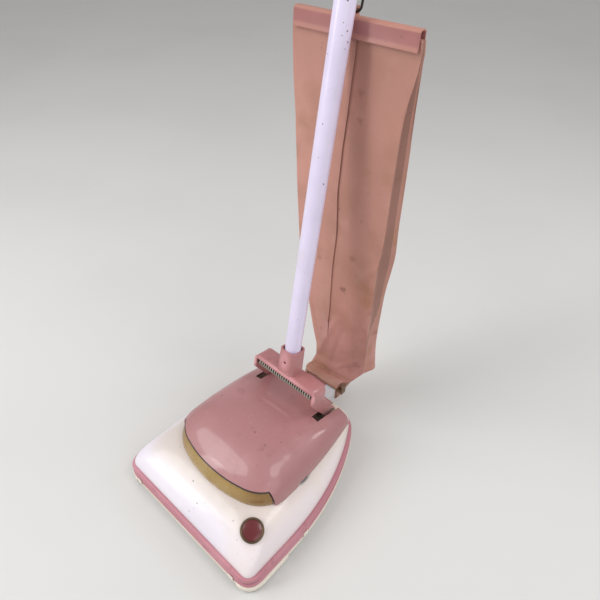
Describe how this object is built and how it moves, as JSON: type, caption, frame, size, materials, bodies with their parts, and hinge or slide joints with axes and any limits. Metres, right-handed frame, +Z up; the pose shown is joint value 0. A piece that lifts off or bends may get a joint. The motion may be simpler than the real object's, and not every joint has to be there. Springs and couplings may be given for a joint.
{
  "type": "toy upright vacuum cleaner",
  "caption": "Toy upright vacuum cleaner: sloping white body with a pink domed hood and amber lamp, tube handle on a hinged yoke with a coil spring, and a hanging vinyl dust bag.",
  "frame": {"origin": "on the floor under the middle of the bounding box", "axes": "+Z up along the handle, front of the body towards -Y, +X to the right seen from the front"},
  "size_m": [0.189, 0.2569, 0.6005],
  "materials": {
    "white_paint": "gloss, stained",
    "pink_paint": "gloss, scuffed",
    "pink_band": "satin, ribbed",
    "dark_bronze": "dulled",
    "red_enamel": "gloss",
    "amber_lens": "translucent",
    "lamp_glass": "clear",
    "brass": "dulled",
    "bright_steel": "bright",
    "bare_steel": "dull",
    "spring_steel": "dull wire",
    "white_tube": "gloss, chipped",
    "dark_steel": "dark",
    "pink_grip": "satin",
    "pink_vinyl": "satin vinyl",
    "clamp_steel": "tarnished",
    "cell_jacket": "plain jacket",
    "grey_plastic": "moulded",
    "dark_plastic": "moulded",
    "red_plastic": "moulded",
    "cream_plastic": "moulded",
    "black_tyre": "matt",
    "roller_rubber": "matt"
  },
  "bodies": {
    "base": {"body_shell": "white_paint", "base_pan": "white_paint", "bumper_strip": "pink_band", "medallion_bezel": "dark_bronze", "medallion_disc": "red_enamel", "hood": "pink_paint", "headlight_lens": "amber_lens", "lamp_bulb": "lamp_glass", "lamp_cap": "brass", "lamp_reflector": "bright_steel", "lamp_bracket": "bare_steel", "hinge_bracket": "bare_steel", "hinge_rod": "bare_steel", "hinge_clips": "bare_steel", "bag": "pink_vinyl", "bag_spout": "pink_paint", "bag_clamp": "clamp_steel", "battery_left": "cell_jacket", "battery_right": "cell_jacket", "battery_cradle": "grey_plastic", "battery_contacts": "brass", "motor_can": "bare_steel", "motor_bracket": "grey_plastic", "fan_housing": "grey_plastic", "switch_body": "dark_plastic", "rear_axle": "bare_steel", "axle_brackets": "bare_steel", "axle_caps": "bare_steel", "roller_axle": "bare_steel", "roller_brackets": "bare_steel"},
    "handle": {"yoke": "pink_paint", "yoke_spring": "spring_steel", "spring_rod": "bare_steel", "handle_tube": "white_tube", "tube_rivet": "dark_steel", "hand_grip": "pink_grip", "hanger_band": "bare_steel", "bag_hook": "dark_steel", "bag_clip": "pink_paint"},
    "wheel_left": {"wheel_hub_left": "cream_plastic", "tyre_left": "black_tyre"},
    "wheel_right": {"wheel_hub_right": "cream_plastic", "tyre_right": "black_tyre"},
    "roller": {"front_roller": "roller_rubber"},
    "fan": {"fan_impeller": "dark_plastic", "motor_shaft": "bare_steel"},
    "door": {"battery_door": "white_paint"},
    "switch": {"switch_slider": "red_plastic"}
  },
  "joints": [
    {"name": "handle_tilt", "type": "hinge", "parent": "base", "child": "handle", "pos_m": [0, 0.04589, 0.056], "axis": [-1, 0, 0], "range_deg": [0, 50], "deforming": ["bag"]},
    {"name": "wheel_left_spin", "type": "hinge", "parent": "base", "child": "wheel_left", "pos_m": [-0.0391, 0.04489, 0.015], "axis": [1, 0, 0], "continuous": true},
    {"name": "wheel_right_spin", "type": "hinge", "parent": "base", "child": "wheel_right", "pos_m": [0.0391, 0.04489, 0.015], "axis": [1, 0, 0], "continuous": true},
    {"name": "roller_spin", "type": "hinge", "parent": "base", "child": "roller", "pos_m": [0, -0.09911, 0.01], "axis": [1, 0, 0], "continuous": true},
    {"name": "fan_spin", "type": "hinge", "parent": "base", "child": "fan", "pos_m": [0, 0.00489, 0.028], "axis": [1, 0, 0], "continuous": true},
    {"name": "battery_door_slide", "type": "slide", "parent": "base", "child": "door", "axis": [0, 1, 0], "range_m": [0, 0.034]},
    {"name": "switch_slide", "type": "slide", "parent": "base", "child": "switch", "axis": [1, 0, 0], "range_m": [0, 0.004]}
  ]
}
